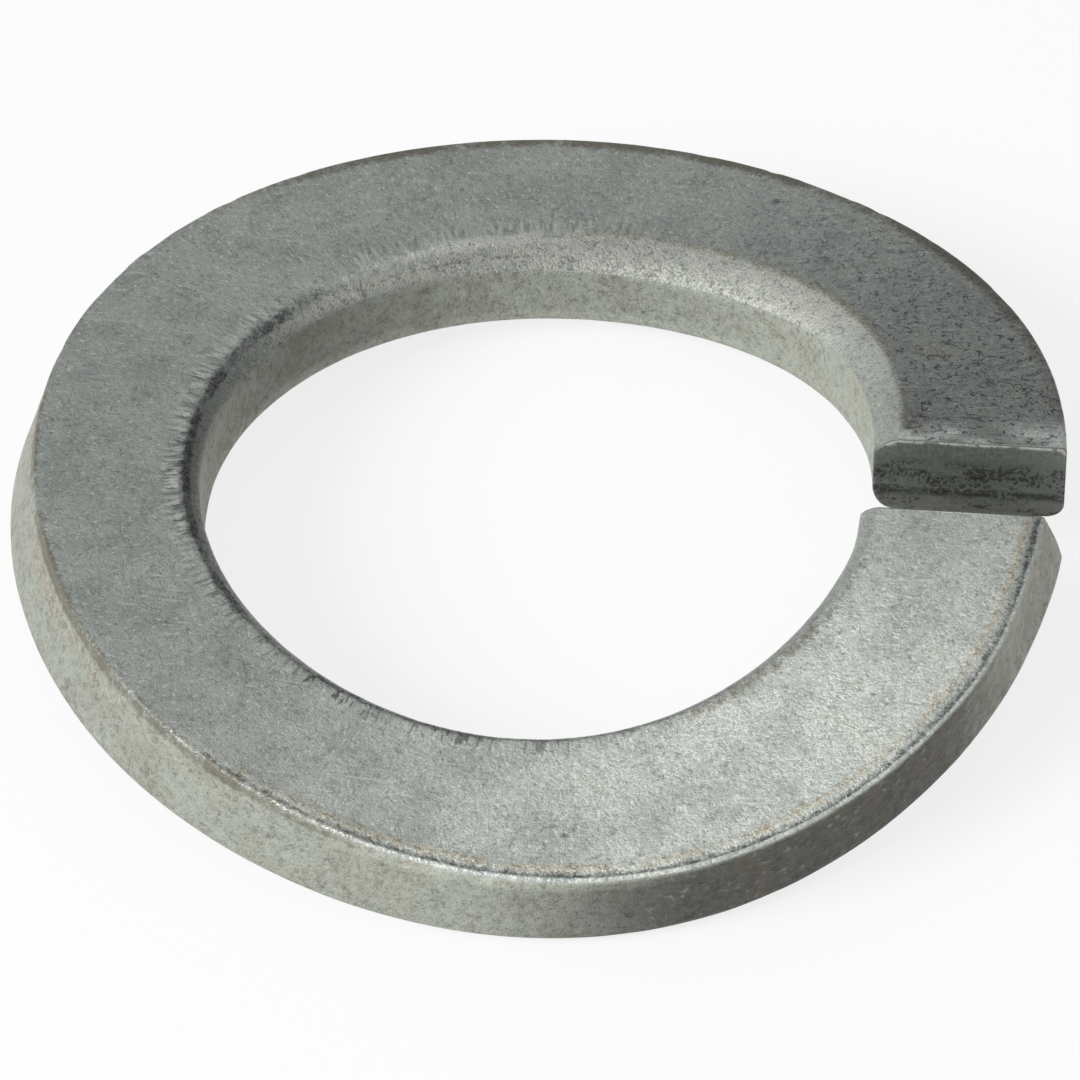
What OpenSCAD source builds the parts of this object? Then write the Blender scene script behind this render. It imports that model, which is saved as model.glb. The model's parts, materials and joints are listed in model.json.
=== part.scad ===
// Curved spring lock washer, for a 24 mm bolt
//
// One turn of rectangular wire, coiled, bowed and sheared off. Z is the
// washer's axis, the gap between the ends is centred on +X, and the lowest
// point lies on Z = 0. Seen from above, the turn runs clockwise and rises from
// the lower end to the upper end, which is the hand for a right-hand thread.
// Angles run clockwise too: along the turn from the lower end, or round the
// ring from the middle of the gap.

/* [Ring] */
// Diameter of the bore
bore_d = 25; // [20:0.1:32]
// Width of the wire, from the bore to the rim's mean circle
wire_w = 7.25; // [5:0.05:9]
// Thickness of the wire
wire_t = 3.7; // [3:0.1:5]

/* [Spring form] */
// Height gained along the turn, from the lower end to the upper end
rise = 0.9; // [0:0.1:3]
// Depth of the bow: the dip halfway between the gap and the far side
bow = 1.55; // [0:0.05:2.4]
// Turn of the bow's crest, from the gap towards the upper end
bow_turn = 7; // [-20:1:20]
// Height of three weak waves on the bow, left by the coiling
wave = 0.18; // [0:0.02:0.5]
// Turn of the waves' crest, from the gap towards the upper end
wave_turn = -5; // [-30:1:30]

/* [Rim] */
// Unevenness of the rim: one, two, three and five waves round the ring
rim_wave = [0.47, 0.39, 0.17, 0.07]; // [0:0.01:0.8]
// Angle round the ring at which each of those waves is highest
rim_wave_at = [-131, 36, -31, -7]; // [-180:1:180]
// Lean of the rim's top edge towards the bore, opposite the gap
rim_lean = 1.18; // [0:0.02:1.6]
// Lean of the rim's top edge outwards, on the lower end's half
rim_flare = 0.33; // [0:0.01:0.6]
// Lean of the rim's top edge towards the bore, at the lower end
rim_tuck = 0.57; // [0:0.01:1]

/* [Ends] */
// Gap between the ends, at the middle of the section
gap = 2.05; // [1:0.05:4]
// Slant of the lower end's cut, which leaves its foot longer than its top
lower_slant = 19; // [0:1:25]
// Slant of the upper end's cut, which leaves its top longer than its foot
upper_slant = 3; // [0:1:12]

/* [Edges] */
// Width of the rolled-over edge around the top of the bore, where it is broad
roll_w = 1.5; // [0.6:0.1:2]
// Height of the rolled-over edge there
roll_h = 0.8; // [0.2:0.05:1.2]
// Width and height of the same edge where it is narrow
roll_narrow = 0.6; // [0.3:0.05:1]
// Radius of the bore's lower edge
bore_foot_r = 0.75; // [0.2:0.05:1.1]
// Radius of the rim's lower edge
rim_foot_r = 0.7; // [0.2:0.05:1.2]
// Bevel along the rim's upper edge
rim_bevel = 0.2; // [0.1:0.05:0.5]

/* [Smoothness] */
// Angle between the sections along the turn
step_a = 3; // [2:0.5:6]

/* [Hidden] */
bore_r = bore_d / 2;
mid_r = bore_r + wire_w / 2;
// Depth by which the raw section reaches into the bore before it is cut round
bore_stock = 0.4;
// The arcs of both bore edges stop short of the wall, so that each ends in a
// plain break, as a coiled edge does
edge_stop = 20;
// Part of the turn, next to each end, over which the section eases to its cut
ease_a = 12;
// Number of waves round the ring for each size in rim_wave
rim_waves = [1, 2, 3, 5];
// Where along the turn each feature is deepest, and how far to either side of
// that it dies out
lean_at = 166;
lean_span = 106;
flare_at = 60;
flare_span = 50;
tuck_span = 29;
roll_at = 284;
roll_span = 120;
// Half of the gap, as the angle that it takes up at the middle of the section
half_a = asin(gap / 2 / mid_r);
turn_a = 360 - 2 * half_a;
steps = ceil(turn_a / step_a);

// A smooth hump: 1 at angle a = at, falling to 0 at span to either side
function hump(a, at, span) =
    abs(a - at) > span ? 0 : (1 + cos(180 * (a - at) / span)) / 2;

// Height of the foot at angle a along the turn
function climb(a) = rise * a / turn_a
    + bow * (cos(2 * (a + half_a + bow_turn)) - 1) / 2
    + wave * cos(3 * (a + half_a + wave_turn));

// Width of the section at angle a, from the bore to the rim's foot
function foot_w(a) = let (waves = [for (i = [0:3])
        rim_wave[i] * cos(rim_waves[i] * (a + half_a - rim_wave_at[i]))])
    wire_w + waves[0] + waves[1] + waves[2] + waves[3];

// Width of the section at angle a, from the bore to the rim's top edge
function top_w(a) = foot_w(a) - rim_lean * hump(a, lean_at, lean_span)
    + rim_flare * hump(a, flare_at, flare_span)
    - rim_tuck * hump(a, 0, tuck_span);

// Points of an elliptical quarter edge about (cx, cz), from angle a0 to a1
function edge(cx, cz, rx, rz, a0, a1, n) =
    [for (i = [0:n]) let (a = a0 + (a1 - a0) * i / n)
        [cx + rx * cos(a), cz + rz * sin(a)]];

// The wire's section at angle a, as [distance from the bore wall, height]
function section(a) =
    let (broad = hump(a, roll_at, roll_span),
        rw = roll_narrow + (roll_w - roll_narrow) * broad,
        rh = roll_narrow + (roll_h - roll_narrow) * broad)
    concat(
        edge(bore_foot_r, bore_foot_r, bore_foot_r, bore_foot_r,
            180 + edge_stop, 270, 3),
        edge(foot_w(a) - rim_foot_r, rim_foot_r, rim_foot_r, rim_foot_r,
            270, 360, 4),
        edge(top_w(a) - rim_bevel, wire_t - rim_bevel,
            rim_bevel, rim_bevel, 0, 90, 2),
        edge(rw, wire_t - rh, rw, rh, 90, 180 - edge_stop, 5),
        [[-bore_stock, wire_t - rh], [-bore_stock, bore_foot_r]]);

// Share of an end's cut that the section at angle a takes, 1 at the end
function near_lower(a) = pow(max(0, 1 - a / ease_a), 2);
function near_upper(a) = pow(max(0, 1 - (turn_a - a) / ease_a), 2);

// Where the point p of the section at angle a lies along the turn, forward of
// the section's own plane. Both cuts are flat and parallel to the X axis.
function shift(p, a) =
    let (up = p[1] - wire_t / 2, across = (p[0] - wire_w / 2) * tan(half_a))
    near_lower(a) * (up * tan(lower_slant) - across)
    + near_upper(a) * (up * tan(upper_slant) + across);

// The point p of the section at angle a, placed on the ring
function placed(p, a) =
    let (s = shift(p, a), r = bore_r + p[0], b = -(half_a + a))
    [r * cos(b) + s * sin(b), r * sin(b) - s * cos(b), p[1] + climb(a)];

stations = [for (i = [0:steps]) turn_a * i / steps];
lowest = min([for (a = stations) climb(a)]);
// Tall enough to cut the bore through the whole height of the ring
cut_h = rise + bow + 2 * wave + 3 * wire_t;

module coil() {
    n = len(section(0));
    points = [for (a = stations, p = section(a)) placed(p, a)];
    walls = [for (i = [0:steps - 1], j = [0:n - 1])
        let (k = (j + 1) % n, q = i * n, t = q + n)
        each [[q + j, t + j, t + k], [q + j, t + k, q + k]]];
    lower_cut = [for (j = [0:n - 1]) j];
    upper_cut = [for (j = [n - 1:-1:0]) steps * n + j];
    polyhedron(points, concat([lower_cut], walls, [upper_cut]), convexity = 6);
}

module washer() {
    color("lightslategray")
        translate([0, 0, -lowest])
            difference() {
                coil();
                translate([0, 0, lowest - wire_t])
                    cylinder(h = cut_h, r = bore_r, $fn = 180);
            }
}

washer();
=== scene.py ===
"""Curved spring lock washer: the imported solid's node is replaced by one finely
gridded surface of the same form, with its rolled bore edge, bevelled rim and
sheared ends, and set on a pale floor in soft light.

The form's angles run clockwise, seen from above, in degrees. 'Turn' angles
start at the lower end; 'ring' angles start at the middle of the gap, on +X.
Properties are in metres and radians, and the form's functions in millimetres
and degrees, until a mesh is made.
"""

import json
import math
from types import SimpleNamespace

import bpy
import numpy as np
from mathutils import Matrix, Vector


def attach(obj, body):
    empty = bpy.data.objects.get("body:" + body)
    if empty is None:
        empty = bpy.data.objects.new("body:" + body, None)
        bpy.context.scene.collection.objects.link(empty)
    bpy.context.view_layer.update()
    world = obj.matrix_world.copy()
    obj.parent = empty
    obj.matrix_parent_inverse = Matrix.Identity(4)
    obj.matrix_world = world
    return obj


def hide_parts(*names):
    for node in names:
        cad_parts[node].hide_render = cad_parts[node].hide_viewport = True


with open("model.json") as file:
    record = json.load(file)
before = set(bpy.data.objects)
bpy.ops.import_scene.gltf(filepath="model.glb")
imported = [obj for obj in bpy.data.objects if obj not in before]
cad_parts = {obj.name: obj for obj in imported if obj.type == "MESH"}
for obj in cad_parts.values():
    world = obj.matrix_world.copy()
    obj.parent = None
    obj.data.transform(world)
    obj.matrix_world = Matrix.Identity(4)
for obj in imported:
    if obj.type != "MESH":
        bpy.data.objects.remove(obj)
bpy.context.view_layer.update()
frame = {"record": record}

bl_info = {
    "name": "Spring lock washer",
    "version": (1, 0, 0),
    "blender": (4, 5, 0),
    "location": "View3D > Sidebar > Lock washer",
    "description": "Makes a curved spring lock washer and a plain stage for it",
    "category": "Object",
}

MM = 0.001
NODE = "washer"
BODY = "root"
BORE = next(m for m in frame["record"]["mounts"] if m["name"] == "bore")
# Width of the camera's sensor
SENSOR = 36.0
# Rows of the surface along the turn
ROWS = 960
# Where along the turn each feature is deepest, and how far to either side it dies out
LEAN, FLARE, TUCK = (166, 106), (60, 50), (0, 29)
ROLL, WOBBLE, BORE_LEAN = (284, 120), (180, 175), (322, 40)
LOBE, WAIST, SPREAD = (0, 6.5), (11, 10), (0, 14)
# Part of the turn before the upper end over which the bore's foot grows taller
TALL_FOOT = 30
# Part of the turn next to each end over which the section eases to its cut
EASE = 12
# Rows of each end's rounded edge and of the flat of its cut
EDGE_ROWS, CUT_ROWS = 6, 20
# Depths of the torn part of a cut and of the whole cut's unevenness
TORN, UNEVEN_CUT = 0.09, 0.012
# What each mark of the surface is where nothing marks it, if that isn't 0
PLAIN = {"tone": 1.0}
# Bands of marks beside an edge of the section. Each row holds the edge, the band's borders and
# their softness in millimetres, its place and span round the ring in degrees, its strength, and
# a gain that keeps it full for longer.
# Painted shade: the dark fold along the lower end's rim and the shaded parts of the rolled edge
PAINTED_SHADE_BANDS = (("roll", -0.1, 0.75, 0.22, 172, 70, 1, 1.5), ("roll", 0.0, 0.7, 0.2, 95, 75, 0.85, 1),
       ("roll", 0.0, 0.8, 0.25, 211, 26, 0.75, 1), ("roll", 0.95, 1.15, 0.12, 250, 28, 0.6, 1))
SAND = (("roll", -0.3, 0.1, 0.15, 305, 75, 0.85, 1), ("bevel", -1.1, -0.3, 0.25, 150, 62, 0.8, 1))
# Thin brown lines: partly painted shade along the rim's top edge, partly dirt along the bore's edge
CREASE_SHADE_AND_DIRT = (("bevel", -0.3, 0.3, 0.12, 155, 85, 1, 1.6), ("face", -0.3, 0.35, 0.22, 285, 100, 1, 1.3),
        ("roll", -0.35, 0.05, 0.15, 42, 50, 0.7, 1))
WRINKLE = (("roll", -0.7, 0.0, 0.2, 178, 58, 1, 1.5), ("roll", -0.7, 0.0, 0.2, 255, 60, 0.6, 1))
CRACKS = (("roll", -0.5, 0.15, 0.15, 100, 58, 1, 1.4),)
# Painted light and shade, with some of the finish's own tone. Each row holds the zone, the change
# of its brightness, and the place and span of that change round the ring in degrees.
PAINTED_LIGHT_AND_TONE = (("face", 0.8, 57, 92), ("face", -0.45, 352, 95), ("face", -0.08, 182, 45),
        ("rim", -0.14, 150, 75), ("roll", 0.02, 320, 40), ("roll", -0.14, 268, 50),
        ("bore", -0.3, 215, 45), ("bore", -0.17, 278, 60))
# Linear colours of the marks and specks
TINT = {
    "dry": (0.4, 0.37, 0.295), "dry speck": (0.62, 0.6, 0.51), "dry hollow": (0.17, 0.145, 0.1),
    # The fold colours are painted shade; the crease colour is partly painted shade, partly dirt
    "crease": (0.125, 0.112, 0.08), "fold": (0.05, 0.055, 0.055), "fold speck": (0.26, 0.28, 0.28),
    "yellowed": (0.27, 0.265, 0.205), "crystal": (0.68, 0.7, 0.65), "dent": (0.045, 0.052, 0.068),
    # The rolled colours are painted highlight on the rolled edge, with its dark specks
    "wrinkle": (0.07, 0.078, 0.076), "crack": (0.08, 0.082, 0.07), "rolled": (0.56, 0.56, 0.49),
    "rolled broad": (0.5, 0.5, 0.44), "rolled speck": (0.18, 0.178, 0.14),
    "pit": (0.08, 0.085, 0.08), "wall patch": (0.28, 0.255, 0.19), "wall speck": (0.13, 0.13, 0.1),
    "wall dent": (0.1, 0.1, 0.085), "wall pit": (0.09, 0.08, 0.06),
    "shade patch": (0.115, 0.095, 0.065), "shade speck": (0.26, 0.27, 0.25),
    "shade": (0.03, 0.035, 0.045), "end foot": (0.17, 0.16, 0.12), "torn": (0.03, 0.029, 0.024),
    # A painted highlight along the top of the upper end's rounded edge
    "worn": (0.52, 0.52, 0.46),
}
# Turn that keeps two sizes of the same grain from lining up
ASKEW = (0.4, 0.2, 0.9)
# Share of plain white in what the camera and gloss see of the floor
GLOW = 0.8


def number(name, text, default, unit="NONE"):
    """A plain number, or one with a unit, as a property."""
    return bpy.props.FloatProperty(name=name, description=text, default=default, min=0, unit=unit)


def length(name, text, default, low=0.0, high=100.0):
    """A length, given here in millimetres, as a property."""
    return bpy.props.FloatProperty(name=name, description=text, default=default * MM, min=low * MM,
                                   max=high * MM, precision=5, unit="LENGTH")


def angle(name, text, default):
    """An angle, given here in degrees, as a property."""
    return bpy.props.FloatProperty(name=name, description=text, default=math.radians(default),
                                   min=-math.pi, max=math.pi, unit="ROTATION")


def several(name, text, default, scale, unit):
    """Lengths in millimetres or angles in degrees, as one property."""
    return bpy.props.FloatVectorProperty(name=name, description=text, unit=unit, size=len(default),
                                         default=[scale * value for value in default])


def colour(name, text, default):
    """A linear RGB colour, as a property."""
    return bpy.props.FloatVectorProperty(
        name=name, description=text, default=default, subtype="COLOR", size=3, min=0.0, max=1.0)


def plain(group):
    """A group's values as plain numbers, lengths in millimetres and angles in degrees."""
    scales = {"LENGTH": 1 / MM, "ROTATION": math.degrees(1)}
    values = {}
    for key in type(group).__annotations__:
        value, scale = getattr(group, key), scales.get(group.bl_rna.properties[key].unit, 1)
        values[key] = value * scale if isinstance(value, float) else tuple(v * scale for v in value)
    return SimpleNamespace(**values)


class LockWasherForm(bpy.types.PropertyGroup):
    """Sizes of the washer."""

    bore_r: length("Bore radius", "Radius of the bore's wall", BORE["dims"]["r_mm"])
    wire_w: length("Wire width", "Width of the wire, from bore to rim", 7.25)
    wire_t: length("Wire thickness", "Height of the wire's section", 3.7)
    rise: length("Rise", "Height gained over the whole turn", 0.9)
    bow: length("Bow", "Depth of the bow between its crests", 1.55)
    bow_turn: angle("Bow turn", "Crest of the bow from the gap", 7)
    wave: length("Wave", "Height of three weak waves on the bow", 0.18)
    wave_turn: angle("Wave turn", "Crest of the waves from the gap", -5)
    gap: length("Gap", "Gap between the ends at the middle of the section", 2.05)
    lower_slant: angle("Lower slant", "Slant of the lower end's cut", 19)
    upper_slant: angle("Upper slant", "Slant of the upper end's cut", 3)
    rim_wave: several("Rim waves", "Unevenness of the rim: one, two, three and five waves",
                      (0.47, 0.39, 0.17, 0.07), MM, "LENGTH")
    rim_wave_at: several("Rim waves' crests", "Angle round the ring of each wave's crest",
                         (-131, 36, -31, -7), math.radians(1), "ROTATION")
    rim_lean: length("Rim lean", "Lean of the rim's top towards the bore, opposite the gap", 1.18)
    rim_flare: length("Rim flare", "Lean of the rim's top outwards, on the lower end's half", 0.33)
    rim_tuck: length("Rim tuck", "Lean of the rim's top towards the bore at the lower end", 0.57)
    roll_w: length("Roll width", "Width of the bore's rolled top edge where it is broad", 1.5)
    roll_h: length("Roll height", "Height of the rolled edge there", 0.8)
    roll_narrow: length("Narrow roll", "Width and height of the rolled edge elsewhere", 0.6)
    bore_foot: length("Bore foot", "Rounding of the bore's foot", 0.75)
    bore_foot_more: length("Taller bore foot", "Height added to it at the upper end", 0.4)
    rim_foot: length("Rim foot", "Rounding of the rim's foot", 0.7)
    bevel: length("Bevel", "Rounding of the rim's top edge", 0.2)
    end_edge: length("End edge", "Rounding of the sheared ends' edges", 0.08)
    clearance: length("Clearance", "How far the surface stays inside the solid", 0.02)
    lobe: length("Lobe", "Bulge of the rim beside the lower end's cut", 0.1)
    waist: length("Waist", "Draw-in of the rim next to that bulge", 0.22)
    spread: length("Spread", "How far the lower end is squeezed into the bore", 0.22)
    flare: length("Bore flare", "Lean of the bore's wall outwards before the upper end", 0.3)
    groove: length("Groove", "Depth of the fold along the lower end's rim", 0.13)
    ridge: length("Ridge", "Height of the ridge beside that fold", 0.06)
    wrinkle: length("Wrinkles", "Depth of the radial wrinkles round the bore", 0.06)


class LockWasherFinish(bpy.types.PropertyGroup):
    """Colours of the zinc finish and the sheared steel."""

    face: colour("Face", "Zinc on the flat faces", (0.30, 0.322, 0.302))
    face_light: colour("Face highlights", "Bright grains of the faces", (0.56, 0.58, 0.54))
    wall: colour("Wall", "Zinc on the bore's wall and the rim", (0.298, 0.316, 0.272))
    sheared: colour("Sheared", "Bare steel of the ends", (0.13, 0.145, 0.13))


class LockWasherStage(bpy.types.PropertyGroup):
    """Camera and light of the stage."""

    elevation: angle("Camera elevation", "Angle above the floor", 43.854)
    azimuth: angle("Camera azimuth", "Angle round from the front", 9.42)
    roll: angle("Camera roll", "Angle about the view's axis", -3.276)
    distance: length("Camera distance", "Distance from the middle", 174.24, 1, 10000)
    offset_x: length("Offset across", "How far the view is moved sideways", -0.0275, -50)
    offset_y: length("Offset up", "How far the view is moved upwards", 0.2748, -50)
    drop: length("View drop", "From the lower end's foot down to the view's middle", 0.25)
    lens_factor: number("Lens factor", "Picture sides per unit of slope", 4.2793)
    ambient: number("Ambient", "Strength of the even light all round", 0.45)
    key_at: several("Key lamp", "Place of the key lamp", (-420, -300, 360), MM, "LENGTH")
    key_side: length("Key lamp's side", "Side of the square key lamp", 300, 1, 10000)
    key_power: number("Key lamp's power", "Power of the key lamp", 3.8, "POWER")
    floor: colour("Floor", "Colour of the floor", (0.9, 0.9, 0.9))
    floor_side: length("Floor's side", "Side of the square floor", 6000, 1, 100000)


def cosd(degrees):
    """Cosine of an angle in degrees."""
    return np.cos(np.radians(degrees))


def hump(a, at, span):
    """Raised cosine: 1 at the angle 'at', falling smoothly to 0 at 'span' degrees either side."""
    d = np.minimum(np.abs(a - at) / span, 1)
    return (1 + np.cos(np.pi * d)) / 2


def smooth(x, low, high):
    """Smooth step from 0 at low to 1 at high."""
    s = np.clip((x - low) / (high - low), 0, 1)
    return s * s * (3 - 2 * s)


def noise(u, v, size_u, size_v, seed):
    """Value noise from -1 to 1: random heights at the knots of a lattice, joined by smooth
    steps, sampled at the coordinates u and v."""
    rng = np.random.default_rng(seed)
    x, y = u / size_u, v / size_v
    x, y = x - x.min(), y - y.min()
    i, j = np.floor(x).astype(int), np.floor(y).astype(int)
    knots = rng.uniform(-1, 1, (i.max() + 2, j.max() + 2))
    s, t = x - i, y - j
    s, t = s * s * (3 - 2 * s), t * t * (3 - 2 * t)
    near = knots[i, j] * (1 - t) + knots[i, j + 1] * t
    far = knots[i + 1, j] * (1 - t) + knots[i + 1, j + 1] * t
    return near * (1 - s) + far * s


def ripples(u, v, *rows):
    """The sum of several noises, from rows of a depth, the lattice's two sizes and the seed."""
    return sum(depth * noise(u, v, *rest) for depth, *rest in rows)


# The turn of the wire

def half_gap(f):
    """Half of the gap, as the angle that it takes up at the middle of the section."""
    return math.degrees(math.asin(f.gap / 2 / (f.bore_r + f.wire_w / 2)))


def whole_turn(f):
    """Angle of the whole turn, from the lower end to the upper end."""
    return 360 - 2 * half_gap(f)


def climb(f, a):
    """Height of the wire's underside: an even rise, a bow of two crests and three weak waves,
    less the same at its lowest point."""
    half = half_gap(f)

    def height(t):
        """The same height before its lowest point is taken away."""
        bow = f.bow * (cosd(2 * (t + half + f.bow_turn)) - 1) / 2
        return f.rise * t / whole_turn(f) + bow + f.wave * cosd(3 * (t + half + f.wave_turn))

    return height(a) - height(np.linspace(0, whole_turn(f), 721)).min()


def foot_width(f, a):
    """Width of the section from the bore to the rim's foot: the wire's width, made uneven by
    one, two, three and five waves round the ring."""
    ring = a + half_gap(f)
    waves = zip((1, 2, 3, 5), f.rim_wave, f.rim_wave_at)
    return f.wire_w + sum(depth * cosd(n * (ring - at)) for n, depth, at in waves)


def top_width(f, a):
    """Width of the section from the bore to the rim's top edge: the foot's, less a long lean
    opposite the gap and a tuck at the lower end, with a flare between them."""
    return (foot_width(f, a) - f.rim_lean * hump(a, *LEAN) + f.rim_flare * hump(a, *FLARE)
            - f.rim_tuck * hump(a, *TUCK))


def roll_size(f, a):
    """Width and height of the rolled edge: narrow, and broad and flat before the upper end."""
    share = hump(a, *ROLL)
    return [f.roll_narrow + (broad - f.roll_narrow) * share for broad in (f.roll_w, f.roll_h)]


# Columns of each part of the section, in order round it
PARTS = {"bore foot": 7, "under": 8, "rim foot": 7, "rim": 16,
         "bevel": 5, "face": 30, "roll": 14, "bore": 9}
FIRST = dict(zip(PARTS, np.cumsum([0] + list(PARTS.values()))))
COLUMNS = sum(PARTS.values())


def arc(cx, cz, rx, rz, a0, n):
    """A quarter of an ellipse from the angle a0 on, without its last point."""
    t = np.radians(a0 + 90 * np.arange(n) / n)
    return cx + rx * np.cos(t), cz + rz * np.sin(t)


def soft_slope(x, z, rx, rz, n):
    """A rolled edge from (x + rx, z) down to (x, z - rz), without its last point: the mean of a
    quarter of an ellipse and a straight slope."""
    ax, az = arc(x + rx, z - rz, rx, rz, 90, n)
    t = np.arange(n) / n
    return 0.45 * ax + 0.55 * (x + rx * (1 - t)), 0.45 * az + 0.55 * (z - rz * t)


def run(p, q, n):
    """A straight run from p to q, without its last point."""
    t = np.arange(n) / n
    return p[0] + (q[0] - p[0]) * t, p[1] + (q[1] - p[1]) * t


def section(f, a):
    """The wire's section at turn angles a, given as a column: out and up values, one row for
    each angle. It runs from the bore's foot along the underside, up the rim, over the bevel and
    the face, and down the rolled edge and the bore. The rim swells out beside the lower end's
    cut and is drawn in next to it, the bore's wall swells in there, and before the upper end
    that wall leans outwards."""
    bf, rf, bev, low = f.bore_foot, f.rim_foot, f.bevel, f.clearance
    t = f.wire_t - low
    foot, top = foot_width(f, a) - low, top_width(f, a) - low
    rw, rh = roll_size(f, a)
    wobble = ripples(a, 0 * a, (0.05, 1.1, 1, 31), (0.04, 0.45, 1, 32))
    rw = rw * (1 + wobble * hump(a, *WOBBLE))
    lean = f.flare * hump(a, *BORE_LEAN)
    bf_up = bf + f.bore_foot_more * hump(a, whole_turn(f), TALL_FOOT)
    runs = [
        arc(bf, bf_up, bf, bf_up - low, 180, PARTS["bore foot"]),
        run((bf, low), (foot - rf, low), PARTS["under"]),
        arc(foot - rf, rf, rf, rf - low, 270, PARTS["rim foot"]),
        run((foot, rf), (top, t - bev), PARTS["rim"]),
        arc(top - bev, t - bev, bev, bev, 0, PARTS["bevel"]),
        run((top - bev, t), (rw + lean, t), PARTS["face"]),
        soft_slope(lean, t, rw, rh, PARTS["roll"]),
        run((lean, t - rh), (0, bf_up), PARTS["bore"]),
    ]
    zero = np.zeros_like(a)
    out, up = (np.hstack([np.broadcast_to(r[k] + zero, (len(a), np.shape(r[k])[-1]))
                          for r in runs]) for k in (0, 1))
    belly = np.sin(np.pi * np.clip((up - 0.3 * rf) / (t - 0.3 * rf), 0, 1))
    belly = belly * smooth(out, top - 1.5, foot)
    out = out + belly * (f.lobe * hump(a, *LOBE) - f.waist * hump(a, *WAIST))
    return out - f.spread * hump(a, *SPREAD) * (1 - smooth(out, 0, 2)), up


def end_shift(f, a, out, up):
    """Shift along the turn of a point near an end: both cuts are flat and parallel to the X
    axis but for their slants, and the shift dies away over the first part of the turn."""
    lower = np.clip(1 - a / EASE, 0, None) ** 2
    upper = np.clip(1 - (whole_turn(f) - a) / EASE, 0, None) ** 2
    across = (out - f.wire_w / 2) * math.tan(math.radians(half_gap(f)))
    lift = up - f.wire_t / 2
    return (lower * (lift * math.tan(math.radians(f.lower_slant)) - across)
            + upper * (lift * math.tan(math.radians(f.upper_slant)) + across))


def place(f, a, out, up, beyond=0.0):
    """Points in space, from the turn angle, the distance out from the bore, the height in the
    section, and a distance along the turn beyond that angle."""
    s = beyond + end_shift(f, a, out, up)
    r = f.bore_r + out
    b = -np.radians(half_gap(f) + a)
    x, y = r * np.cos(b) + s * np.sin(b), r * np.sin(b) - s * np.cos(b)
    return np.stack([x, y, up + climb(f, a)], -1)


def cap(f, a, side):
    """Rows that close an end, from its rounded edge to a short line at its middle. The outline
    shrinks evenly towards the middle of the section. The cut's lower part is torn."""
    out, up = section(f, np.array([[a]]))
    bends = np.radians(np.linspace(0, 90, EDGE_ROWS))
    half_t = f.wire_t / 2
    flat = np.linspace(f.end_edge, half_t * 0.97, CUT_ROWS)[1:]
    inset = np.concatenate([f.end_edge * (1 - np.cos(bends)), flat])[:, None]
    short = np.concatenate([f.end_edge * (1 - np.sin(bends)), 0 * flat])[:, None]
    half_w = (out.max() - out.min()) / 2
    mid_out, mid_up = (out.max() + out.min()) / 2, (up.max() + up.min()) / 2
    o = mid_out + (out - mid_out) * (1 - inset / half_w)
    u = mid_up + (up - mid_up) * (1 - inset / half_t)
    tear = smooth(f.wire_t * 0.66 - u, -0.2, 0.5) * (inset > f.end_edge * 0.99)
    dents = 0.5 + ripples(o, u, (0.5, 0.5, 0.16, 11 + side), (0.3, 0.18, 0.1, 12 + side))
    depth = TORN * tear * np.clip(dents, 0, 1)
    depth = depth + UNEVEN_CUT * (1 + noise(o, u, 0.3, 0.3, 13 + side))
    depth = depth * np.clip((inset - f.end_edge) / 0.3, 0, 1)
    return place(f, np.full_like(o, a), o, u, -side * (short + depth)), o, u


def washer_grid(f):
    """The closed surface as a grid of points: rows go along the turn, from the middle of the
    lower end's cap to the middle of the upper end's, and columns go round the section. Gives
    the points, a mark for each row that is 1 on the caps, the marks of the surface, the two wrap
    coordinates and the way round the section."""
    turn = whole_turn(f)
    first = math.degrees(1.3 * f.end_edge / f.bore_r)
    t = np.linspace(0, 1, ROWS)
    closer = t - 0.1 * np.sin(2 * math.pi * t) / (2 * math.pi)
    a = (first + (turn - 2 * first) * closer)[:, None]
    out, up = section(f, a)
    nominal = nominal_round(f)
    along = np.radians(a) * (f.bore_r + f.wire_w / 2)
    raised_out, raised_up, marks = relief(f, a, along, out, up, nominal)
    body = place(f, np.broadcast_to(a, out.shape), raised_out, raised_up)
    low, low_o, low_u = cap(f, 0.0, -1)
    high, high_o, high_u = cap(f, turn, 1)
    points = np.concatenate([low[::-1], body, high])
    mark = np.concatenate([np.ones(len(low)), np.zeros(len(body)), np.ones(len(high))])
    # The caps lie apart from the body in the wrap
    u_map = np.concatenate([low_o[::-1] - 20, np.broadcast_to(along, out.shape), high_o + 120])
    v_map = np.concatenate([low_u[::-1], np.broadcast_to(nominal[None, :-1], out.shape), high_u])
    for key, value in marks.items():
        rest = np.full(low_o.shape, PLAIN.get(key, 0.0))
        marks[key] = np.concatenate([rest, value, rest])
    # A painted highlight along the top of the upper end's rounded edge only
    edge_rows = np.abs(np.arange(len(high)) - 4)[:, None] < 1.5
    marks["worn"] = np.zeros(points.shape[:2])
    marks["worn"][-len(high):] = edge_rows * smooth(high_u, f.wire_t - 0.5, f.wire_t - 0.2)
    return points, mark, marks, u_map, v_map, nominal[-1]


def nominal_round(f):
    """Distance round the section at each column, in millimetres, for a section without lean,
    with the whole way round as the last value."""
    out, up = section(f, np.array([[300.0]]))
    p = np.stack([out[0], up[0]], -1)
    steps = np.linalg.norm(np.diff(np.vstack([p, p[:1]]), axis=0), axis=1)
    return np.concatenate([[0], np.cumsum(steps)])


def band(d, low, high, soft=0.08):
    """1 between low and high, with soft borders."""
    return smooth(d, low - soft, low + soft) * (1 - smooth(d, high - soft, high + soft))


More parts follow.
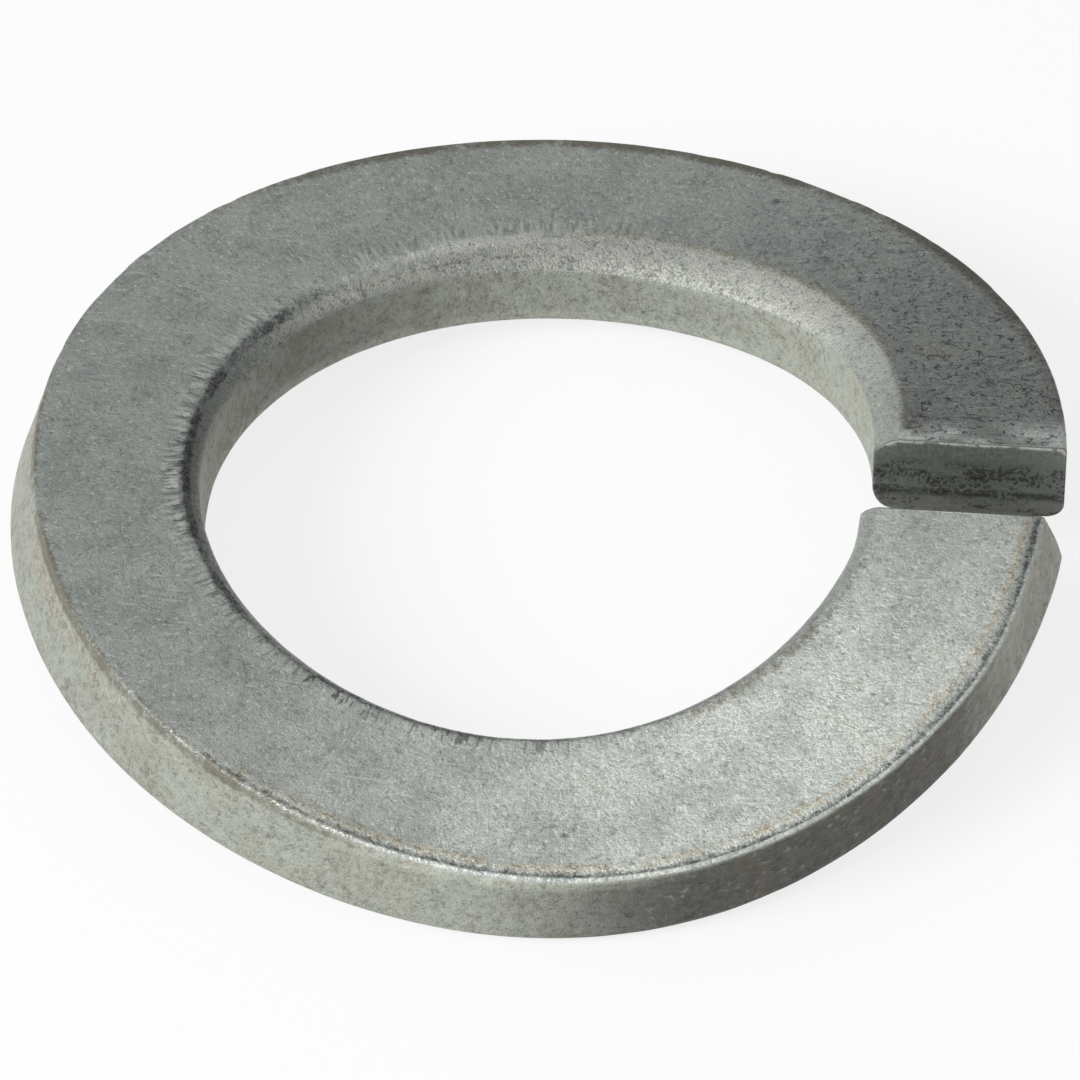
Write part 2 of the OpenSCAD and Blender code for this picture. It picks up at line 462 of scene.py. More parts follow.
def surface_marks(f, a, around, nominal):
    """Where each kind of mark lies on the turn, from 0 to 1, as bands beside the section's own
    edges whose strength follows the angle round the ring: painted shade in the dark fold and on
    the shaded roll, the pale dry ridges, the thin brown crease lines, which are partly painted
    shade and partly dirt, the bright crystals of the faces, the rolled edge's painted highlight,
    and a brightness that is mostly painted light and shade, partly the finish's own tone."""
    ring = a + half_gap(f)
    at = {part: nominal[FIRST[part]] for part in PARTS}
    to = {part: around - at[part] for part in ("bevel", "face", "roll", "bore")}
    zones = {"face": band(around, at["bevel"], at["roll"], 0.05),
             "rim": band(around, at["rim foot"], at["bevel"], 0.05),
             "bore": smooth(around, at["rim"] - 0.2, at["rim"]) * smooth(to["bore"], -0.1, 0.1),
             "roll": band(around, at["roll"], at["bore"], 0.05)}
    along_end = 1 - smooth(ring, 95, 142)
    fold = 0.12 + 0.2 * (1 - smooth(ring, 25, 85))
    uneven = 0.75 + ripples(ring, around, (0.35, 5, 8, 21), (0.25, 1.3, 3, 22))

    def bands(rows):
        """At each point, the strongest of the bands that the rows describe."""
        return np.maximum.reduce([
            strength * band(to[part], *borders) * np.clip(gain * hump(ring, middle, span), 0, 1)
            for part, *borders, middle, span, strength, gain in rows])

    marks = {
        "groove": band(to["face"], -0.5 * fold, 0.5 * fold, 0.06) * along_end,
        "ridge": band(to["face"], 0.5 * fold + 0.05, 0.5 * fold + 0.35, 0.08) * along_end}
    # Painted shade in the fold and on the shaded parts of the rolled edge
    marks["ink"] = np.maximum(marks["groove"] * np.clip(uneven, 0.7, 1), uneven * bands(PAINTED_SHADE_BANDS))
    marks["sand"] = uneven * np.maximum.reduce([
        marks["ridge"], bands(SAND),
        0.5 * band(to["bevel"], -1.5, -0.2, 0.4) * (1 - smooth(ring, 20, 50)),
        0.75 * zones["bore"] * band(to["bore"], 0.3, 1.8, 0.5) * hump(ring, 190, 18)])
    # Thin brown lines: partly painted shade along the rim's top edge, partly dirt along the bore's
    # edge
    marks["rust"] = uneven * np.maximum(
        bands(CREASE_SHADE_AND_DIRT), 0.6 * band(to["roll"], -0.9, -0.1, 0.3) * smooth(ring, 346, 353))
    marks["frost"] = zones["face"] * np.maximum(hump(ring, 60, 100), 0.2)
    marks["scratch"] = zones["face"] * hump(ring, 345, 75)
    marks["wrinkle"] = uneven * bands(WRINKLE)
    marks["cracks"] = uneven * bands(CRACKS)
    # The rolled edge's painted highlight, strongest at the back where the edge faces the key lamp;
    # the same mark also gives it bumps and roughness
    marks["roll"] = (zones["roll"] * (0.15 + 0.85 * np.clip(1.5 * hump(ring, 282, 88), 0, 1))
                     + band(to["roll"], 0.85, 1.4, 0.15) * hump(ring, 226, 30))

    # Brightness of the finish: mostly painted light and shade round the ring, partly its own tone
    tone = PLAIN["tone"] + sum(change * zones[zone] * hump(ring, middle, span)
                               for zone, change, middle, span in PAINTED_LIGHT_AND_TONE)
    specks = np.clip(0.6 + noise(ring, around, 2.5, 0.8, 23), 0, 1)
    tone = tone + 0.75 * zones["face"] * smooth(ring, 351.5, 354.5) * specks
    # Painted shade on the rim at the front right, which faces away from the key lamp
    tone = tone - 0.76 * zones["rim"] * smooth(ring, 18, 40) * (1 - smooth(ring, 66, 92))
    # Painted highlight along the bevel at the front
    tone = tone + 0.3 * band(to["bevel"], -0.45, 0.0, 0.1) * hump(ring, 85, 30)
    # Painted highlight on the top of the rolled edge at the back
    tone = tone + 0.35 * band(to["roll"], 0.0, 0.5, 0.2) * hump(ring, 246, 30)
    # Painted shade under the rolled edge on the left, where it faces away from the key lamp
    under = smooth(to["roll"], -0.05, 0.1) * (1 - smooth(to["bore"], -0.5, 0.4))
    marks["tone"] = tone - 0.5 * under * hump(ring, 172, 62)
    return marks


def relief(f, a, along, out, up, nominal):
    """The surface's own shape, as wear left it: soft dimples of the blasted zinc all over, radial
    wrinkles where the face rolls over into the bore, nicks along the rim, and the fold with its
    ridge along the lower end's rim."""
    around = np.broadcast_to(nominal[None, :-1], out.shape)
    along = np.broadcast_to(along, out.shape)
    marks = surface_marks(f, np.broadcast_to(a, out.shape), around, nominal)
    p = np.stack([out, up], -1)
    tangent = np.roll(p, -1, axis=1) - np.roll(p, 1, axis=1)
    tangent = tangent / np.linalg.norm(tangent, axis=-1, keepdims=True)
    inward = np.stack([-tangent[..., 1], tangent[..., 0]], -1)
    dimples = 0.0095 + ripples(along, around, (0.006, 1.1, 1.1, 1), (0.0035, 0.4, 0.4, 2))
    fine = 0.5 + 0.5 * noise(along, around, 0.27, 0.75, 3)
    wrinkles = f.wrinkle * np.clip(marks["wrinkle"] + 0.6 * marks["cracks"], 0, 1) * fine
    roll = 0.005 * marks["roll"] * (1 + noise(along, around, 0.5, 0.3, 5))
    nicks = band(around, nominal[FIRST["bevel"]] - 0.15, nominal[FIRST["face"]] + 0.05, 0.15)
    nicks = 0.04 * nicks * np.clip(noise(along, around, 0.6, 0.6, 4) - 0.1, 0, 1)
    fold = f.groove * marks["groove"] * (1 - 0.7 * smooth(a, 30, 110))
    fold = fold * (0.8 + 0.2 * noise(along, around, 1.3, 1.0, 6))
    ridge = f.ridge * marks["ridge"] * (0.5 + 0.5 * fine)
    moved = p + inward * (dimples + wrinkles + roll + nicks + fold - ridge)[..., None]
    return moved[..., 0], moved[..., 1], marks


def fill_mesh(name, points, mark, marks, u_map, v_map, whole):
    """Makes the mesh from the grid: quads between neighbouring rows and columns, which close
    round the section, and a fan at the middle of each cap."""
    rows, cols = points.shape[:2]
    n = rows * cols
    i = np.arange(rows - 1)[:, None]
    j = np.arange(cols)
    k = (j + 1) % cols
    corners = [i * cols + j, i * cols + k, (i + 1) * cols + k, (i + 1) * cols + j]
    quads = np.stack(corners, -1).reshape(-1, 4)
    middles = np.stack([points[0].mean(0), points[-1].mean(0)])
    verts = np.concatenate([points.reshape(-1, 3), middles]) * MM
    last = (rows - 1) * cols
    fans = np.concatenate([np.stack([np.full(cols, n), k, j], -1),
                           np.stack([np.full(cols, n + 1), last + j, last + k], -1)])
    mesh = bpy.data.meshes.new(name)
    mesh.from_pydata(verts.tolist(), [], quads.tolist() + fans.tolist())

    wrap = np.stack([u_map, v_map], -1)
    after = np.roll(wrap, -1, axis=1)
    after[mark == 0, -1, 1] = whole
    quad_wrap = np.stack([wrap[:-1], after[:-1], after[1:], wrap[1:]], axis=2)
    fan_wrap = [np.stack([np.tile(ends.mean(0), (cols, 1)), ends[p], ends[q]], 1)
                for ends, p, q in ((wrap[0], k, j), (wrap[-1], j, k))]
    flat = np.concatenate([quad_wrap.ravel(), np.ravel(fan_wrap)])
    mesh.uv_layers.new(name="Wrap").data.foreach_set("uv", flat.astype(np.float32))
    for key, value in marks.items():
        stored = mesh.attributes.new(key, "FLOAT", "POINT")
        value = np.append(value.ravel(), [PLAIN.get(key, 0.0)] * 2)
        stored.data.foreach_set("value", value.astype(np.float32))

    slots = np.zeros(COLUMNS, int)
    for part in ("bore foot", "rim foot", "rim", "bore"):
        slots[FIRST[part]:FIRST[part] + PARTS[part]] = 1
    on_cap = (mark[:-1] + mark[1:] > 1.5)[:, None]
    slots = np.append(np.where(on_cap, 2, slots).ravel(), np.full(2 * cols, 2))
    mesh.polygons.foreach_set("material_index", slots.astype(np.int32))
    mesh.polygons.foreach_set("use_smooth", np.ones(len(slots), bool))
    mesh.update()
    return mesh


# Materials

def node(tree, kind, inputs=None, **settings):
    """A shader node with its settings, and its inputs set to values or linked to sockets."""
    made = tree.nodes.new(kind)
    for key, value in settings.items():
        setattr(made, key, value)
    for key, value in (inputs or {}).items():
        if isinstance(value, bpy.types.NodeSocket):
            tree.links.new(value, made.inputs[key])
        else:
            made.inputs[key].default_value = value
    return made


def maths(tree, operation, a, b=0.0):
    """The result of one Math node."""
    return node(tree, "ShaderNodeMath", {0: a, 1: b}, operation=operation).outputs[0]


def times(tree, *values):
    """The product of several values."""
    total = values[0]
    for value in values[1:]:
        total = maths(tree, "MULTIPLY", total, value)
    return total


def plus(tree, a, b):
    """The sum of two values."""
    return maths(tree, "ADD", a, b)


def ramp(tree, value, low, high, to_low=0.0, to_high=1.0):
    """A smooth step of a value, from to_low at low to to_high at high."""
    made = node(tree, "ShaderNodeMapRange", {"Value": value, "From Min": low, "From Max": high,
                                             "To Min": to_low, "To Max": to_high},
                interpolation_type="SMOOTHSTEP")
    return made.outputs["Result"]


def blend(tree, fac, a, b, kind="MIX"):
    """A mix of two colours."""
    a, b = ((*value, 1.0) if isinstance(value, tuple) else value for value in (a, b))
    return node(tree, "ShaderNodeMix", {0: fac, 6: a, 7: b},
                data_type="RGBA", blend_type=kind).outputs[2]


def layered(tree, base, *layers):
    """Colours laid over a base in order. Each layer is its colour and the values whose product
    is its share."""
    for shade, *shares in layers:
        base = blend(tree, times(tree, *shares), base, shade)
    return base


def cloud(tree, vector, scale, detail=2.0, rough=0.5, lift=0.0):
    """A noise from 0 to 1 at so many waves for each unit of the vector."""
    return node(tree, "ShaderNodeTexNoise", {"Vector": vector, "Scale": scale, "Detail": detail,
                                             "Roughness": rough, "Distortion": lift}).outputs["Fac"]


def scaled(tree, vector, scale, turn=(0.0, 0.0, 0.0)):
    """A vector turned and scaled by a Mapping node."""
    inputs = {"Vector": vector, "Scale": scale, "Rotation": turn}
    return node(tree, "ShaderNodeMapping", inputs).outputs[0]


def turned(tree, vector, turn):
    """A vector turned by a Mapping node."""
    return scaled(tree, vector, (1.0, 1.0, 1.0), turn)


def new_group(name, outputs, **inputs):
    """A shader node group with a vector, the numbers that it takes with their defaults, and the
    numbers that it gives. Gives the tree, the sockets of its input node by name, and the function
    that links its results."""
    tree = bpy.data.node_groups.new(name, "ShaderNodeTree")
    tree.interface.new_socket("Vector", in_out="INPUT", socket_type="NodeSocketVector")
    for label, default in inputs.items():
        socket = tree.interface.new_socket(label, in_out="INPUT", socket_type="NodeSocketFloat")
        socket.default_value = default
    for label in outputs:
        tree.interface.new_socket(label, in_out="OUTPUT", socket_type="NodeSocketFloat")
    entry = node(tree, "NodeGroupInput")
    leave = node(tree, "NodeGroupOutput")

    def give(**results):
        """Links results to the group's outputs."""
        for label, socket in results.items():
            tree.links.new(socket, leave.inputs[label])

    return tree, entry.outputs, give


def use(tree, group, **inputs):
    """A node group placed in a tree, with its inputs set. Gives its outputs."""
    return node(tree, "ShaderNodeGroup", inputs, node_tree=group).outputs


def surface_grain():
    """The grain of blasted zinc: a fine mottle from 0 to 1, dark dots and pale flecks."""
    tree, inp, give = new_group("Surface grain", ["Mottle", "Dark", "Pale"], Grain=0.14)
    per_mm = maths(tree, "DIVIDE", 1000.0, inp["Grain"])
    fine = cloud(tree, inp["Vector"], per_mm, 2.0, 0.6)
    broad = cloud(tree, inp["Vector"], times(tree, per_mm, 0.3), 2.0, 0.6)
    both = plus(tree, times(tree, fine, 0.65), times(tree, broad, 0.35))
    give(Mottle=ramp(tree, both, 0.36, 0.64), Dark=ramp(tree, both, 0.44, 0.34),
         Pale=ramp(tree, both, 0.57, 0.66))
    return tree


def worm_marks():
    """Short curled marks, as crystals and small dents leave: the places where a noise crosses its
    middle value, broken up by a second noise."""
    tree, inp, give = new_group("Worm marks", ["Mask"], Size=0.3, Width=0.05, Share=0.5)
    per_mm = maths(tree, "DIVIDE", 1000.0, inp["Size"])
    field = cloud(tree, inp["Vector"], per_mm, 1.0, 0.5, 0.4)
    away = maths(tree, "ABSOLUTE", maths(tree, "SUBTRACT", field, 0.5))
    line = ramp(tree, away, inp["Width"], times(tree, inp["Width"], 0.3))
    elsewhere = node(tree, "ShaderNodeVectorMath", {0: inp["Vector"], 1: (0.031, 0.017, 0.005)},
                     operation="ADD").outputs[0]
    where = cloud(tree, elsewhere, times(tree, per_mm, 0.9), 1.0, 0.5)
    limit = maths(tree, "SUBTRACT", 0.75, times(tree, inp["Share"], 0.5))
    give(Mask=times(tree, line, ramp(tree, where, limit, plus(tree, limit, 0.06))))
    return tree


def fine_scratches():
    """Short thin scratches in three directions, broken up by a broad noise."""
    tree, inp, give = new_group("Fine scratches", ["Mask"], Amount=0.5)
    total = 0.0
    for k, turn in enumerate((0.4, 1.5, 2.6)):
        along = scaled(tree, inp["Vector"], (500.0, 7500.0, 900.0), (0.0, 0.0, turn))
        apart = scaled(tree, inp["Vector"], (600.0, 600.0, 600.0), (0.3 * k, 0.0, turn))
        streak, where = cloud(tree, along, 1.0, 1.0, 0.4), cloud(tree, apart, 1.0, 1.0, 0.5)
        one = times(tree, ramp(tree, streak, 0.67, 0.73), ramp(tree, where, 0.5, 0.58))
        total = maths(tree, "MAXIMUM", total, one)
    give(Mask=times(tree, total, inp["Amount"]))
    return tree


def small_pits():
    """Small dark pits, scattered one to a cell in some cells."""
    tree, inp, give = new_group("Small pits", ["Mask"], Spacing=1.0, Amount=0.3)
    cells = node(tree, "ShaderNodeTexVoronoi", {
        "Vector": inp["Vector"], "Scale": maths(tree, "DIVIDE", 1000.0, inp["Spacing"])}).outputs
    chosen = node(tree, "ShaderNodeSeparateColor", {"Color": cells["Color"]}).outputs[0]
    few = maths(tree, "LESS_THAN", chosen, inp["Amount"])
    give(Mask=times(tree, ramp(tree, cells["Distance"], 0.16, 0.06), few))
    return tree


def finish_shader(tree, base, rough, height, strength, distance, metallic):
    """The Principled BSDF of a finish, with its bumps, linked to the material's output."""
    normal = node(tree, "ShaderNodeBump", {
        "Height": height, "Strength": strength, "Distance": distance}).outputs[0]
    shader = node(tree, "ShaderNodeBsdfPrincipled", {
        "Base Color": base, "Roughness": rough, "Metallic": metallic, "Normal": normal})
    node(tree, "ShaderNodeOutputMaterial", {"Surface": shader.outputs[0]})


def start_material(name):
    """An empty node material, with the object's coordinates and the wrap of the surface."""
    material = bpy.data.materials.new(name)
    material.use_nodes = True
    tree = material.node_tree
    tree.nodes.clear()
    place = node(tree, "ShaderNodeTexCoord").outputs["Object"]
    wrap = node(tree, "ShaderNodeUVMap", uv_map="Wrap").outputs[0]
    return material, tree, place, wrap


def mark_of(tree, name):
    """One of the surface's marks, as a value."""
    return node(tree, "ShaderNodeAttribute", attribute_type="GEOMETRY",
                attribute_name=name).outputs["Fac"]


def ragged(tree, name, noise_value, reach):
    """One of the surface's marks, with its border broken up by a noise."""
    mark = mark_of(tree, name)
    offset = times(tree, maths(tree, "SUBTRACT", noise_value, 0.5), 2 * reach)
    return ramp(tree, plus(tree, mark, times(tree, offset, ramp(tree, mark, 0.0, 0.2))), 0.1, 0.85)


def shades_of(base, *factors):
    """A colour times each of several factors, by factor."""
    return {k: tuple(k * c for c in base) for k in factors}


def stained_and_shaded(tree, base, edge, grain):
    """The marks along the edges laid over a colour, with dry pale ridges, brown creases that are
    partly painted shade, and painted shade in the dark folds, and all of it times the brightness
    mark, which is mostly painted light and shade."""
    sand = ragged(tree, "sand", edge, 0.9)
    rust = ragged(tree, "rust", edge, 0.8)
    ink = ragged(tree, "ink", edge, 0.7)
    base = layered(
        tree, base,
        (TINT["dry"], sand, 0.6),
        (TINT["dry speck"], sand, grain["Pale"], 0.6),
        (TINT["dry hollow"], sand, ramp(tree, grain["Mottle"], 0.5, 0.15), 0.75),
        # Crease lines that are partly painted shade, then painted shade in the fold and on the roll
        (TINT["crease"], rust, 0.8),
        (TINT["fold"], ink, ramp(tree, grain["Mottle"], 0.3, 0.9, 0.92, 0.5)),
        (TINT["fold speck"], ink, grain["Pale"], 0.35))
    # Times the brightness mark, which is mostly painted light and shade
    tone = mark_of(tree, "tone")
    grey = node(tree, "ShaderNodeCombineColor", {0: tone, 1: tone, 2: tone}).outputs[0]
    return blend(tree, 1.0, base, grey, "MULTIPLY")


def face_material(groups, finish):
    """The blasted zinc of the face, the bevel, the rolled edge and the underside."""
    material, tree, at, wrap = start_material("Blasted zinc")
    grain = use(tree, groups["grain"], Vector=at, Grain=0.1)
    coarse = use(tree, groups["grain"], Vector=turned(tree, at, ASKEW), Grain=0.24)
    scratch = use(tree, groups["scratches"], Vector=at, Amount=1.0)["Mask"]
    pits = use(tree, groups["pits"], Vector=at, Spacing=1.5, Amount=0.1)["Mask"]
    crystals = use(tree, groups["worms"], Vector=at, Size=0.19, Width=0.1, Share=0.75)["Mask"]
    dents = use(tree, groups["worms"], Vector=turned(tree, at, (0.0, 0.0, 0.7)),
                Size=0.3, Width=0.05, Share=0.5)["Mask"]
    slanted = scaled(tree, at, (1500.0, 4400.0, 1500.0), (0.0, 0.0, -0.35))
    streaks = cloud(tree, slanted, 1.0, 3.0, 0.6, 0.8)
    radial = cloud(tree, scaled(tree, wrap, (4.6, 1.1, 1.0)), 1.0, 2.0, 0.5)
    flecks = cloud(tree, scaled(tree, wrap, (8.0, 3.4, 1.0)), 1.0, 1.0, 0.4)
    edge = cloud(tree, at, 5200.0, 3.0, 0.7)
    broad = cloud(tree, at, 380.0, 3.0, 0.65)
    frost, marked, crease, cracks, roll = (
        mark_of(tree, name) for name in ("frost", "scratch", "wrinkle", "cracks", "roll"))
    patchy = times(tree, frost, ramp(tree, broad, 0.38, 0.6, 0.35, 1.0))
    dented = plus(tree, times(tree, marked, 0.8), 0.2)
    shades = shades_of(finish.face, 0.4, 0.5, 0.82, 1.12, 1.45)
    base = blend(tree, ramp(tree, broad, 0.35, 0.65), shades[0.82], shades[1.12])
    base = layered(
        tree, base,
        (TINT["yellowed"], ramp(tree, broad, 0.52, 0.68), 0.4),
        (shades[1.45], coarse["Mottle"], 0.35),
        (shades[0.5], coarse["Dark"], 0.45),
        (shades[1.45], grain["Mottle"], 0.3),
        (shades[0.4], grain["Dark"], 0.6),
        (finish.face_light, ramp(tree, flecks, 0.62, 0.7), 0.6),
        (finish.face_light, crystals, patchy, 0.6),
        (TINT["crystal"], grain["Pale"], patchy, 0.75),
        (shades[0.5], coarse["Dark"], frost, 0.3),
        (TINT["dent"], dents, dented, 0.85),
        (TINT["dent"], ramp(tree, streaks, 0.58, 0.66), marked, 0.7),
        (finish.face_light, scratch, 0.4),
        (finish.face_light, crease, ramp(tree, radial, 0.48, 0.62), 0.8),
        (TINT["wrinkle"], crease, ramp(tree, radial, 0.47, 0.38), 0.8),
        (TINT["crack"], cracks, ramp(tree, radial, 0.46, 0.38), 0.85),
        # Painted highlight on the rolled edge, with its dark specks
        (TINT["rolled"], roll, grain["Mottle"], 0.45),
        (TINT["rolled broad"], roll, coarse["Mottle"], 0.3),
        (TINT["rolled speck"], roll, grain["Dark"], 0.6),
        (TINT["pit"], pits, 0.7))
    base = stained_and_shaded(tree, base, edge, grain)
    height = plus(tree, grain["Mottle"], times(tree, crystals, frost, 0.7))
    height = plus(tree, height, times(tree, coarse["Mottle"], ramp(tree, roll, 0.0, 1.0, 1.0, 0.3)))
    holes = times(tree, maths(tree, "MAXIMUM", pits, dents), 0.8)
    height = maths(tree, "SUBTRACT", height, holes)
    height = plus(tree, height, times(tree, plus(tree, crease, cracks), radial, 6.0))
    rough = plus(tree, ramp(tree, grain["Mottle"], 0.2, 0.8, 0.58, 0.4), times(tree, roll, 0.15))
    finish_shader(tree, base, rough, height, 0.5, 0.03 * MM, 0.5)
    return material


def wall_material(groups, finish):
    """The rolled zinc of the rim, the bore and the rounded feet."""
    material, tree, at, wrap = start_material("Rolled zinc")
    grain = use(tree, groups["grain"], Vector=at, Grain=0.1)
    coarse = use(tree, groups["grain"], Vector=turned(tree, at, ASKEW), Grain=0.26)
    pits = use(tree, groups["pits"], Vector=at, Spacing=0.5, Amount=0.28)["Mask"]
    dents = use(tree, groups["worms"], Vector=at, Size=0.3, Width=0.05, Share=0.4)["Mask"]
    upright = cloud(tree, scaled(tree, wrap, (2.4, 1.7, 1.0)), 1.0, 3.0, 0.65)
    edge = cloud(tree, at, 5000.0, 3.0, 0.7)
    patches = cloud(tree, at, 460.0, 3.0, 0.7)
    shades = shades_of(finish.wall, 0.5, 0.85, 1.12, 1.5)
    base = blend(tree, ramp(tree, upright, 0.35, 0.65), shades[0.85], shades[1.12])
    base = layered(
        tree, base,
        (TINT["wall patch"], ramp(tree, patches, 0.46, 0.62), 0.45),
        (shades[1.5], coarse["Mottle"], 0.5),
        (shades[0.5], coarse["Dark"], 0.55),
        (shades[1.5], grain["Mottle"], 0.4),
        (TINT["wall speck"], grain["Dark"], 0.65),
        (TINT["wall dent"], dents, 0.3),
        (TINT["wall pit"], pits, 0.5))
    base = stained_and_shaded(tree, base, edge, grain)
    # Painted shade on the walls where the brightness mark falls below 1
    shaded = maths(tree, "SUBTRACT", PLAIN["tone"], mark_of(tree, "tone"))
    shaded = maths(tree, "MAXIMUM", shaded, 0.0)
    base = layered(
        tree, base,
        (TINT["shade patch"], shaded, ramp(tree, patches, 0.48, 0.6), 0.8),
        (TINT["shade speck"], shaded, coarse["Pale"], 0.9),
        (TINT["shade"], shaded, grain["Dark"], 0.9))
    rough = ramp(tree, upright, 0.35, 0.65, 0.6, 0.48)
    height = plus(tree, grain["Mottle"], coarse["Mottle"])
    finish_shader(tree, base, rough, height, 0.6, 0.04 * MM, 0.25)
    return material


def end_material(groups, finish):
    """The bare steel of the cuts: smooth above, torn dark below, with a brighter foot and a painted
    highlight along the top of the upper end's edge.
    """
    material, tree, at, wrap = start_material("Sheared steel")
    grain = use(tree, groups["grain"], Vector=at, Grain=0.16)
    up = node(tree, "ShaderNodeSeparateXYZ", {"Vector": wrap}).outputs[1]
    smear = cloud(tree, scaled(tree, wrap, (6.5, 4.6, 1.0)), 1.0, 4.0, 0.7)
    patch = cloud(tree, scaled(tree, wrap, (0.7, 1.2, 1.0)), 1.0, 2.0, 0.5)
    streak = cloud(tree, scaled(tree, wrap, (0.9, 3.0, 1.0)), 1.0, 3.0, 0.6)
    torn = times(tree, ramp(tree, plus(tree, smear, times(tree, patch, 0.5)), 0.72, 0.82),
                 ramp(tree, up, 3.0, 2.4), ramp(tree, up, 0.55, 0.95))
    line = times(tree, ramp(tree, up, 0.75, 0.98), ramp(tree, up, 1.35, 1.1),
                 ramp(tree, plus(tree, smear, streak), 0.86, 1.0))
    few = times(tree, ramp(tree, streak, 0.5, 0.6), ramp(tree, up, 0.75, 0.6),
                ramp(tree, smear, 0.45, 0.55))
    dark = maths(tree, "MAXIMUM", maths(tree, "MAXIMUM", torn, line), few)
    worn = ramp(tree, cloud(tree, at, 3500.0, 2.0, 0.6), 0.38, 0.52)
    shades = shades_of(finish.sheared, 1.5)
    base = blend(tree, ramp(tree, smear, 0.3, 0.7), finish.sheared, shades[1.5])
    base = layered(
        tree, base,
        (finish.wall, grain["Pale"], 0.3),
        (TINT["end foot"], ramp(tree, up, 0.9, 0.4), 0.4),
        (TINT["torn"], dark, 0.85),
        # Painted highlight along the top of the upper end's rounded edge
        (TINT["worn"], mark_of(tree, "worn"), worn, 0.8))
    rough = ramp(tree, smear, 0.4, 0.6, 0.45, 0.65)
    finish_shader(tree, base, rough, maths(tree, "SUBTRACT", smear, dark), 0.4, 0.08 * MM, 0.5)
    return material


class LOCKWASHER_OT_washer(bpy.types.Operator):
    """Make the washer's surface and its finishes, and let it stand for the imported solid"""

    bl_idname = "lockwasher.make_washer"
    bl_label = "Make washer"

    def execute(self, context):
        finish = plain(context.scene.lock_washer_finish)
        mesh = fill_mesh("curved_washer", *washer_grid(plain(context.scene.lock_washer_form)))
        piece = bpy.data.objects.new("curved_washer", mesh)
        context.scene.collection.objects.link(piece)
        groups = {"grain": surface_grain(), "worms": worm_marks(),
                  "scratches": fine_scratches(), "pits": small_pits()}
        for make in (face_material, wall_material, end_material):
            mesh.materials.append(make(groups, finish))
        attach(piece, BODY)
        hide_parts(NODE)
        return {"FINISHED"}


# Stage

def stage_floor(side, shade):
    """A wide flat floor that shows near white to the camera and in gloss."""
    material = bpy.data.materials.new("Pale floor")
    material.use_nodes = True
    tree = material.node_tree
    tree.nodes.clear()
    path = node(tree, "ShaderNodeLightPath").outputs
    seen = maths(tree, "MAXIMUM", path["Is Camera Ray"], path["Is Glossy Ray"])
    seen = maths(tree, "MAXIMUM", seen, path["Is Transmission Ray"])
    pale = node(tree, "ShaderNodeBsdfDiffuse", {"Color": (*shade, 1.0)})
    glow = node(tree, "ShaderNodeEmission", {"Color": (1.0, 1.0, 1.0, 1.0), "Strength": 1.0})
    mixed = node(tree, "ShaderNodeMixShader", {0: times(tree, seen, GLOW),
                                               1: pale.outputs[0], 2: glow.outputs[0]})
    node(tree, "ShaderNodeOutputMaterial", {"Surface": mixed.outputs[0]})
    mesh = bpy.data.meshes.new("floor")
    r = side / 2 * MM
    mesh.from_pydata([(-r, -r, 0), (r, -r, 0), (r, r, 0), (-r, r, 0)], [], [(0, 1, 2, 3)])
    mesh.materials.append(material)
    floor = bpy.data.objects.new("floor", mesh)
    bpy.context.scene.collection.objects.link(floor)


def stage_world(strength):
    """An even light all round, seen as white by the camera."""
    world = bpy.data.worlds.new("Soft studio")
    bpy.context.scene.world = world
    world.use_nodes = True
    tree = world.node_tree
    tree.nodes.clear()
    path = node(tree, "ShaderNodeLightPath").outputs
    lit, white = (node(tree, "ShaderNodeBackground", {"Color": (1, 1, 1, 1), "Strength": power})
                  for power in (strength, 1.0))
    mixed = node(tree, "ShaderNodeMixShader", {0: path["Is Camera Ray"], 1: lit.outputs[0],
                                               2: white.outputs[0]})
    node(tree, "ShaderNodeOutputWorld", {"Surface": mixed.outputs[0]})


def area_lamp(name, at, side, watts):
    """A square soft lamp that faces the origin."""
    data = bpy.data.lights.new(name, "AREA")
    data.shape, data.size, data.energy = "SQUARE", side * MM, watts
    lamp = bpy.data.objects.new(name, data)
    lamp.location = Vector(at) * MM
    lamp.rotation_euler = (-Vector(at)).to_track_quat("-Z", "Y").to_euler()
    bpy.context.scene.collection.objects.link(lamp)


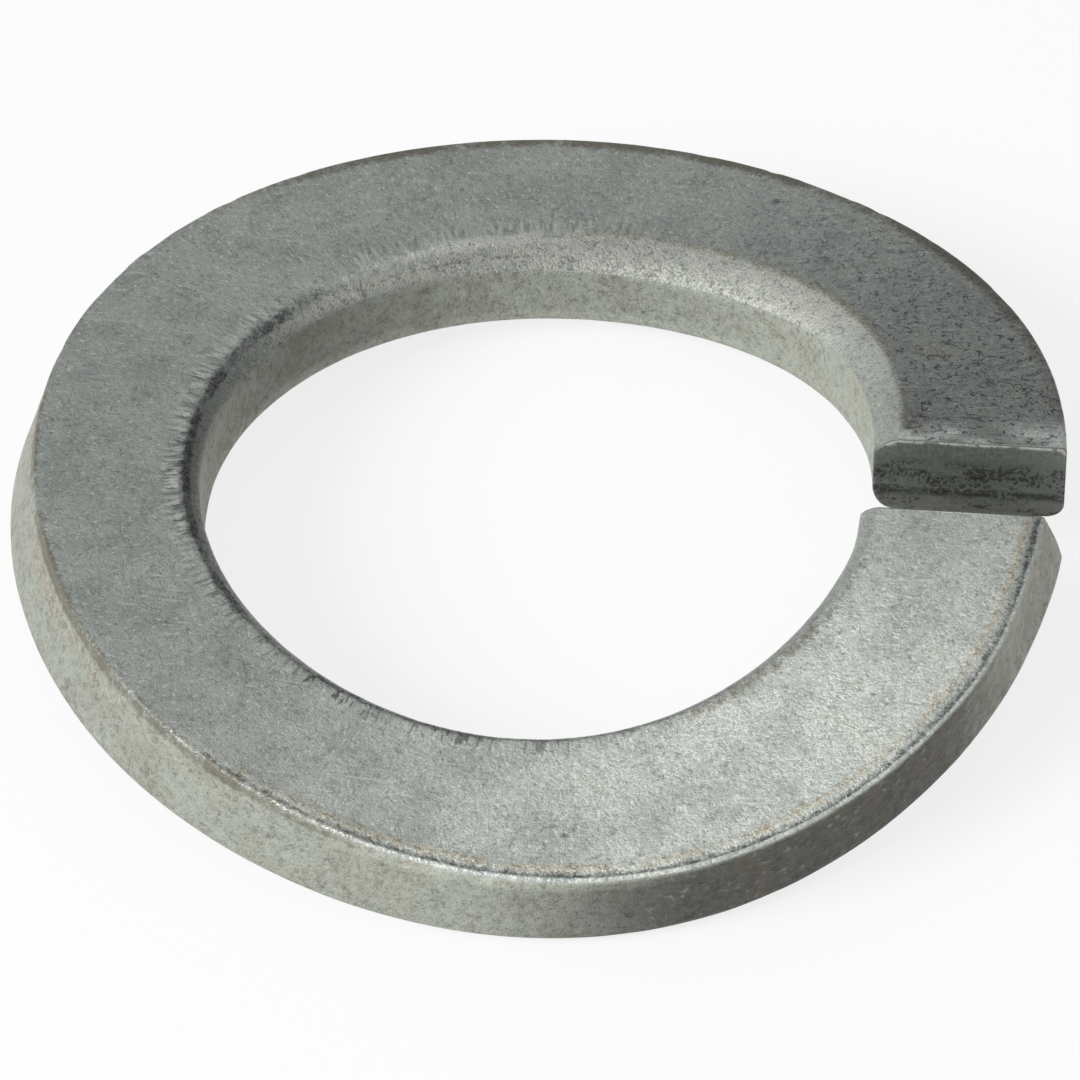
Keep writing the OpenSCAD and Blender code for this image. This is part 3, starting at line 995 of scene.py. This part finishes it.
def stage_camera(f, s):
    """The camera, from its elevation, azimuth and roll, its distance from the middle of the
    lower end's foot plane, and a small offset across the view."""
    e, az, roll = (math.radians(v) for v in (s.elevation, s.azimuth, s.roll))
    right = np.array([math.cos(az), math.sin(az), 0.0])
    back = np.array([math.cos(e) * math.sin(az), -math.cos(e) * math.cos(az), math.sin(e)])
    up = np.cross(back, right)
    c, d = math.cos(roll), math.sin(roll)
    right, up = c * right + d * up, c * up - d * right
    middle = np.array([0.0, 0.0, climb(f, 0.0) - s.drop])
    at = (middle + s.distance * back - s.offset_x * right - s.offset_y * up) * MM
    data = bpy.data.cameras.new("Camera")
    data.sensor_fit, data.sensor_width = "AUTO", SENSOR
    data.lens = s.lens_factor * SENSOR
    data.clip_start, data.clip_end = 0.005, 20.0
    camera = bpy.data.objects.new("Camera", data)
    camera.matrix_world = Matrix([
        [right[0], up[0], back[0], at[0]], [right[1], up[1], back[1], at[1]],
        [right[2], up[2], back[2], at[2]], [0, 0, 0, 1]])
    bpy.context.scene.collection.objects.link(camera)
    bpy.context.scene.camera = camera


class LOCKWASHER_OT_stage(bpy.types.Operator):
    """Make the floor, the soft light and the camera at the photograph's angle"""

    bl_idname = "lockwasher.make_stage"
    bl_label = "Make stage"

    def execute(self, context):
        scene = context.scene
        scene.view_settings.view_transform = "Standard"
        s = plain(scene.lock_washer_stage)
        stage_floor(s.floor_side, s.floor)
        stage_world(s.ambient)
        area_lamp("Key", s.key_at, s.key_side, s.key_power)
        stage_camera(plain(scene.lock_washer_form), s)
        return {"FINISHED"}


class LOCKWASHER_PT_panel(bpy.types.Panel):
    """Sizes, colours and steps of the washer"""

    bl_idname = "LOCKWASHER_PT_panel"
    bl_label = "Lock washer"
    bl_space_type = "VIEW_3D"
    bl_region_type = "UI"
    bl_category = "Lock washer"

    def draw(self, context):
        for group, step in ((context.scene.lock_washer_form, None),
                            (context.scene.lock_washer_finish, LOCKWASHER_OT_washer),
                            (context.scene.lock_washer_stage, LOCKWASHER_OT_stage)):
            box = self.layout.box()
            for key in type(group).__annotations__:
                box.prop(group, key)
            if step:
                box.operator(step.bl_idname)


GROUPS = {"lock_washer_form": LockWasherForm, "lock_washer_finish": LockWasherFinish,
          "lock_washer_stage": LockWasherStage}
STEPS = (LOCKWASHER_OT_washer, LOCKWASHER_OT_stage)


def register():
    """Registers the classes, and gives the scene its three groups."""
    for cls in (*GROUPS.values(), *STEPS, LOCKWASHER_PT_panel):
        bpy.utils.register_class(cls)
    for key, cls in GROUPS.items():
        setattr(bpy.types.Scene, key, bpy.props.PointerProperty(type=cls))


def unregister():
    """Takes the groups and the classes away again."""
    for key in GROUPS:
        delattr(bpy.types.Scene, key)
    for cls in reversed((*GROUPS.values(), *STEPS, LOCKWASHER_PT_panel)):
        bpy.utils.unregister_class(cls)


def main():
    """Registers the classes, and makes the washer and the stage."""
    register()
    bpy.ops.lockwasher.make_washer()
    bpy.ops.lockwasher.make_stage()


if __name__ == "__main__":
    main()
